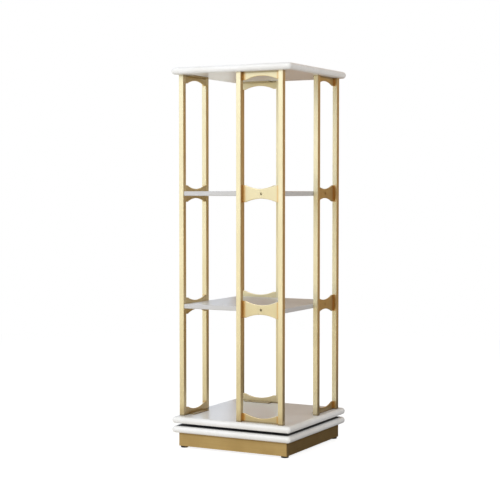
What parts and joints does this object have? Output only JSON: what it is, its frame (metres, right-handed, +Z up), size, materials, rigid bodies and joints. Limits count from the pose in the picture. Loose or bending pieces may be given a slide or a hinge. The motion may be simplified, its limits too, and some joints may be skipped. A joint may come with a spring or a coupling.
{
  "type": "rotating bookshelf",
  "caption": "Tall square bookshelf with three open tiers that turns as a whole on a low fixed plinth, with arched gold side panels and white boards.",
  "frame": {"origin": "centre of the footprint, on the floor", "axes": "+Z up along the turning axis, -Y out of the front face, +X out of the right face"},
  "size_m": [0.35, 0.35, 1.004],
  "materials": {
    "white_board": "white satin lacquer on board",
    "white_shelf": "white satin lacquer on board",
    "plinth_gold": "satin gold lacquer on board",
    "post_gold": "satin pale gold powder coat",
    "rail_gold": "satin pale gold powder coat",
    "block_wood": "bare softwood",
    "foot_black": "moulded black plastic",
    "plug_black": "moulded black plastic",
    "screw_steel": "zinc plated",
    "screw_gold": "yellow plated",
    "ring_metal": "turned aluminium",
    "ball_steel": "polished ball steel",
    "cage_plastic": "moulded nylon"
  },
  "bodies": {
    "base": {"base_board": "white_board", "plinth_front": "plinth_gold", "plinth_right": "plinth_gold", "plinth_back": "plinth_gold", "plinth_left": "plinth_gold", "corner_block_front_right": "block_wood", "corner_block_back_right": "block_wood", "corner_block_back_left": "block_wood", "corner_block_front_left": "block_wood", "foot_front_right": "foot_black", "foot_back_right": "foot_black", "foot_back_left": "foot_black", "foot_front_left": "foot_black", "block_screws": "screw_steel", "foot_screws": "screw_steel", "turntable_outer_ring": "ring_metal", "outer_ring_screws": "screw_steel"},
    "cage": {"ball_cage": "cage_plastic", "bearing_balls": "ball_steel"},
    "carousel": {"turntable_inner_ring": "ring_metal", "inner_ring_screws": "screw_steel", "bottom_board": "white_board", "middle_shelf": "white_shelf", "upper_shelf": "white_shelf", "top_board": "white_board", "front_left_post": "post_gold", "front_right_post": "post_gold", "right_left_post": "post_gold", "right_right_post": "post_gold", "back_left_post": "post_gold", "back_right_post": "post_gold", "left_left_post": "post_gold", "left_right_post": "post_gold", "front_top_rail": "rail_gold", "front_bottom_rail": "rail_gold", "right_top_rail": "rail_gold", "right_bottom_rail": "rail_gold", "back_top_rail": "rail_gold", "back_bottom_rail": "rail_gold", "left_top_rail": "rail_gold", "left_bottom_rail": "rail_gold", "front_upper_rail": "rail_gold", "front_lower_rail": "rail_gold", "right_upper_rail": "rail_gold", "right_lower_rail": "rail_gold", "back_upper_rail": "rail_gold", "back_lower_rail": "rail_gold", "left_upper_rail": "rail_gold", "left_lower_rail": "rail_gold", "post_end_plugs": "plug_black", "shelf_screws": "screw_gold", "top_flange_screws": "screw_steel", "bottom_flange_screws": "screw_steel"}
  },
  "joints": [
    {"name": "carousel_spin", "type": "hinge", "parent": "base", "child": "carousel", "pos_m": [0, 0, 0.0625], "axis": [0, 0, 1], "continuous": true},
    {"name": "cage_roll", "type": "hinge", "parent": "base", "child": "cage", "pos_m": [0, 0, 0.0625], "axis": [0, 0, 1], "continuous": true}
  ],
  "couplings": [
    {"joint": "cage_roll", "follows": "carousel_spin", "ratio": 0.488}
  ]
}
